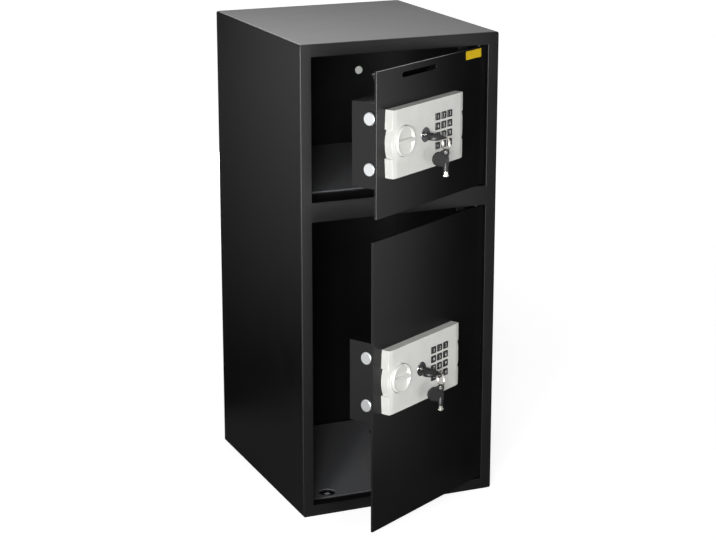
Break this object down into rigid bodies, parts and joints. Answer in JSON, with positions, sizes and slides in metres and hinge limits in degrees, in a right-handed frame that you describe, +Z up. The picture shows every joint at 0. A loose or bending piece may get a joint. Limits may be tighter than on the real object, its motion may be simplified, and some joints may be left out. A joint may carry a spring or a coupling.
{
  "type": "steel drop safe",
  "caption": "Tall steel deposit safe with an upper slotted door and a lower door, each with a keypad lock, knob, sliding bolts and key override.",
  "frame": {"origin": "centre of the safe's underside, midway between its sides and between its front plate and back", "axes": "+Z up, -Y out of the front, +X to the right as seen from the front"},
  "size_m": [0.35, 0.5586, 0.8],
  "materials": {
    "powder_coat": "satin black powder coat",
    "zinc_steel": "bright zinc plate",
    "chrome": "polished",
    "nickel": "polished spring wire",
    "grey_plastic": "fine satin",
    "black_plastic": "satin",
    "key_plastic": "moulded",
    "white_plastic": "moulded",
    "mat": "matt, fine grain",
    "circuit": "laminate and cells",
    "coil": "wound copper in a steel frame"
  },
  "bodies": {
    "root": {"cabinet_shell": "powder_coat", "back_panel": "powder_coat", "front_frame": "powder_coat", "divider_shelf": "powder_coat", "hinge_pins": "powder_coat", "floor_mats": "mat", "hole_plugs": "white_plastic"},
    "upper_door": {"upper_door": "powder_coat", "upper_lock_case": "powder_coat", "upper_lock_housing": "grey_plastic", "upper_key_lock": "chrome", "upper_electronics": "circuit", "upper_solenoid": "coil", "slot_baffle": "powder_coat"},
    "upper_knob": {"upper_knob": "grey_plastic", "upper_spindle_cam": "zinc_steel"},
    "upper_bolts": {"upper_bolt_carriage": "zinc_steel"},
    "upper_plunger": {"upper_plunger": "zinc_steel"},
    "upper_key_plug": {"upper_key_plug": "chrome"},
    "upper_key": {"upper_key": "key_plastic"},
    "upper_key_ring": {"upper_key_ring": "nickel"},
    "upper_spare_key": {"upper_spare_key": "key_plastic"},
    "upper_button_1": {"upper_button_1": "black_plastic"},
    "upper_button_2": {"upper_button_2": "black_plastic"},
    "upper_button_3": {"upper_button_3": "black_plastic"},
    "upper_button_4": {"upper_button_4": "black_plastic"},
    "upper_button_5": {"upper_button_5": "black_plastic"},
    "upper_button_6": {"upper_button_6": "black_plastic"},
    "upper_button_7": {"upper_button_7": "black_plastic"},
    "upper_button_8": {"upper_button_8": "black_plastic"},
    "upper_button_9": {"upper_button_9": "black_plastic"},
    "upper_button_star": {"upper_button_star": "black_plastic"},
    "upper_button_0": {"upper_button_0": "black_plastic"},
    "upper_button_hash": {"upper_button_hash": "black_plastic"},
    "lower_door": {"lower_door": "powder_coat", "lower_lock_case": "powder_coat", "lower_lock_housing": "grey_plastic", "lower_key_lock": "chrome", "lower_electronics": "circuit", "lower_solenoid": "coil"},
    "lower_knob": {"lower_knob": "grey_plastic", "lower_spindle_cam": "zinc_steel"},
    "lower_bolts": {"lower_bolt_carriage": "zinc_steel"},
    "lower_plunger": {"lower_plunger": "zinc_steel"},
    "lower_key_plug": {"lower_key_plug": "chrome"},
    "lower_key": {"lower_key": "key_plastic"},
    "lower_key_ring": {"lower_key_ring": "nickel"},
    "lower_spare_key": {"lower_spare_key": "key_plastic"},
    "lower_button_1": {"lower_button_1": "black_plastic"},
    "lower_button_2": {"lower_button_2": "black_plastic"},
    "lower_button_3": {"lower_button_3": "black_plastic"},
    "lower_button_4": {"lower_button_4": "black_plastic"},
    "lower_button_5": {"lower_button_5": "black_plastic"},
    "lower_button_6": {"lower_button_6": "black_plastic"},
    "lower_button_7": {"lower_button_7": "black_plastic"},
    "lower_button_8": {"lower_button_8": "black_plastic"},
    "lower_button_9": {"lower_button_9": "black_plastic"},
    "lower_button_star": {"lower_button_star": "black_plastic"},
    "lower_button_0": {"lower_button_0": "black_plastic"},
    "lower_button_hash": {"lower_button_hash": "black_plastic"}
  },
  "joints": [
    {"name": "upper_door_hinge", "type": "hinge", "parent": "root", "child": "upper_door", "pos_m": [0.142, -0.194, 0.664], "axis": [0, 0, 1], "range_deg": [-30.8, 79.2]},
    {"name": "upper_knob_turn", "type": "hinge", "parent": "upper_door", "child": "upper_knob", "pos_m": [-0.06451, -0.32409, 0.664], "axis": [0.512, -0.859, 0], "range_deg": [0, 90]},
    {"name": "upper_bolts_slide", "type": "slide", "parent": "upper_door", "child": "upper_bolts", "axis": [-0.859, -0.512, 0], "range_m": [0, 0.018]},
    {"name": "upper_plunger_lift", "type": "slide", "parent": "upper_door", "child": "upper_plunger", "axis": [0, 0, 1], "range_m": [0, 0.006]},
    {"name": "upper_key_turn", "type": "hinge", "parent": "upper_door", "child": "upper_key_plug", "pos_m": [-0.01469, -0.29439, 0.664], "axis": [0.512, -0.859, 0], "range_deg": [0, 90]},
    {"name": "upper_key_pull", "type": "slide", "parent": "upper_key_plug", "child": "upper_key", "axis": [0.512, -0.859, 0], "range_m": [0, 0.035]},
    {"name": "upper_ring_swing", "type": "hinge", "parent": "upper_key", "child": "upper_key_ring", "pos_m": [0.01123, -0.3424, 0.664], "axis": [0.9999, 0.014, 0], "range_deg": [-14, 4]},
    {"name": "upper_spare_swing", "type": "hinge", "parent": "upper_key_ring", "child": "upper_spare_key", "pos_m": [0.01128, -0.34577, 0.64339], "axis": [-0.014, 0.9999, 0], "range_deg": [-25, 25]},
    {"name": "upper_button_1_press", "type": "slide", "parent": "upper_door", "child": "upper_button_1", "axis": [-0.512, 0.859, 0], "range_m": [0, 0.001], "stiffness_N_per_m": 400},
    {"name": "upper_button_2_press", "type": "slide", "parent": "upper_door", "child": "upper_button_2", "axis": [-0.512, 0.859, 0], "range_m": [0, 0.001], "stiffness_N_per_m": 400},
    {"name": "upper_button_3_press", "type": "slide", "parent": "upper_door", "child": "upper_button_3", "axis": [-0.512, 0.859, 0], "range_m": [0, 0.001], "stiffness_N_per_m": 400},
    {"name": "upper_button_4_press", "type": "slide", "parent": "upper_door", "child": "upper_button_4", "axis": [-0.512, 0.859, 0], "range_m": [0, 0.001], "stiffness_N_per_m": 400},
    {"name": "upper_button_5_press", "type": "slide", "parent": "upper_door", "child": "upper_button_5", "axis": [-0.512, 0.859, 0], "range_m": [0, 0.001], "stiffness_N_per_m": 400},
    {"name": "upper_button_6_press", "type": "slide", "parent": "upper_door", "child": "upper_button_6", "axis": [-0.512, 0.859, 0], "range_m": [0, 0.001], "stiffness_N_per_m": 400},
    {"name": "upper_button_7_press", "type": "slide", "parent": "upper_door", "child": "upper_button_7", "axis": [-0.512, 0.859, 0], "range_m": [0, 0.001], "stiffness_N_per_m": 400},
    {"name": "upper_button_8_press", "type": "slide", "parent": "upper_door", "child": "upper_button_8", "axis": [-0.512, 0.859, 0], "range_m": [0, 0.001], "stiffness_N_per_m": 400},
    {"name": "upper_button_9_press", "type": "slide", "parent": "upper_door", "child": "upper_button_9", "axis": [-0.512, 0.859, 0], "range_m": [0, 0.001], "stiffness_N_per_m": 400},
    {"name": "upper_button_star_press", "type": "slide", "parent": "upper_door", "child": "upper_button_star", "axis": [-0.512, 0.859, 0], "range_m": [0, 0.001], "stiffness_N_per_m": 400},
    {"name": "upper_button_0_press", "type": "slide", "parent": "upper_door", "child": "upper_button_0", "axis": [-0.512, 0.859, 0], "range_m": [0, 0.001], "stiffness_N_per_m": 400},
    {"name": "upper_button_hash_press", "type": "slide", "parent": "upper_door", "child": "upper_button_hash", "axis": [-0.512, 0.859, 0], "range_m": [0, 0.001], "stiffness_N_per_m": 400},
    {"name": "lower_door_hinge", "type": "hinge", "parent": "root", "child": "lower_door", "pos_m": [0.142, -0.194, 0.275], "axis": [0, 0, 1], "range_deg": [-29.7, 80.3]},
    {"name": "lower_knob_turn", "type": "hinge", "parent": "lower_door", "child": "lower_knob", "pos_m": [-0.06697, -0.3201, 0.275], "axis": [0.4955, -0.8686, 0], "range_deg": [0, 90]},
    {"name": "lower_bolts_slide", "type": "slide", "parent": "lower_door", "child": "lower_bolts", "axis": [-0.8686, -0.4955, 0], "range_m": [0, 0.018]},
    {"name": "lower_plunger_lift", "type": "slide", "parent": "lower_door", "child": "lower_plunger", "axis": [0, 0, 1], "range_m": [0, 0.006]},
    {"name": "lower_key_turn", "type": "hinge", "parent": "lower_door", "child": "lower_key_plug", "pos_m": [-0.01659, -0.29137, 0.275], "axis": [0.4955, -0.8686, 0], "range_deg": [0, 90]},
    {"name": "lower_key_pull", "type": "slide", "parent": "lower_key_plug", "child": "lower_key", "axis": [0.4955, -0.8686, 0], "range_m": [0, 0.035]},
    {"name": "lower_ring_swing", "type": "hinge", "parent": "lower_key", "child": "lower_key_ring", "pos_m": [0.0084, -0.33986, 0.275], "axis": [1, -0.0052, 0], "range_deg": [-14, 4]},
    {"name": "lower_spare_swing", "type": "hinge", "parent": "lower_key_ring", "child": "lower_spare_key", "pos_m": [0.00839, -0.34323, 0.25439], "axis": [0.0052, 1, 0], "range_deg": [-25, 25]},
    {"name": "lower_button_1_press", "type": "slide", "parent": "lower_door", "child": "lower_button_1", "axis": [-0.4955, 0.8686, 0], "range_m": [0, 0.001], "stiffness_N_per_m": 400},
    {"name": "lower_button_2_press", "type": "slide", "parent": "lower_door", "child": "lower_button_2", "axis": [-0.4955, 0.8686, 0], "range_m": [0, 0.001], "stiffness_N_per_m": 400},
    {"name": "lower_button_3_press", "type": "slide", "parent": "lower_door", "child": "lower_button_3", "axis": [-0.4955, 0.8686, 0], "range_m": [0, 0.001], "stiffness_N_per_m": 400},
    {"name": "lower_button_4_press", "type": "slide", "parent": "lower_door", "child": "lower_button_4", "axis": [-0.4955, 0.8686, 0], "range_m": [0, 0.001], "stiffness_N_per_m": 400},
    {"name": "lower_button_5_press", "type": "slide", "parent": "lower_door", "child": "lower_button_5", "axis": [-0.4955, 0.8686, 0], "range_m": [0, 0.001], "stiffness_N_per_m": 400},
    {"name": "lower_button_6_press", "type": "slide", "parent": "lower_door", "child": "lower_button_6", "axis": [-0.4955, 0.8686, 0], "range_m": [0, 0.001], "stiffness_N_per_m": 400},
    {"name": "lower_button_7_press", "type": "slide", "parent": "lower_door", "child": "lower_button_7", "axis": [-0.4955, 0.8686, 0], "range_m": [0, 0.001], "stiffness_N_per_m": 400},
    {"name": "lower_button_8_press", "type": "slide", "parent": "lower_door", "child": "lower_button_8", "axis": [-0.4955, 0.8686, 0], "range_m": [0, 0.001], "stiffness_N_per_m": 400},
    {"name": "lower_button_9_press", "type": "slide", "parent": "lower_door", "child": "lower_button_9", "axis": [-0.4955, 0.8686, 0], "range_m": [0, 0.001], "stiffness_N_per_m": 400},
    {"name": "lower_button_star_press", "type": "slide", "parent": "lower_door", "child": "lower_button_star", "axis": [-0.4955, 0.8686, 0], "range_m": [0, 0.001], "stiffness_N_per_m": 400},
    {"name": "lower_button_0_press", "type": "slide", "parent": "lower_door", "child": "lower_button_0", "axis": [-0.4955, 0.8686, 0], "range_m": [0, 0.001], "stiffness_N_per_m": 400},
    {"name": "lower_button_hash_press", "type": "slide", "parent": "lower_door", "child": "lower_button_hash", "axis": [-0.4955, 0.8686, 0], "range_m": [0, 0.001], "stiffness_N_per_m": 400}
  ],
  "couplings": [
    {"joint": "upper_knob_turn", "follows": "upper_bolts_slide", "rad_per_m": 87.266},
    {"joint": "lower_knob_turn", "follows": "lower_bolts_slide", "rad_per_m": 87.266}
  ]
}
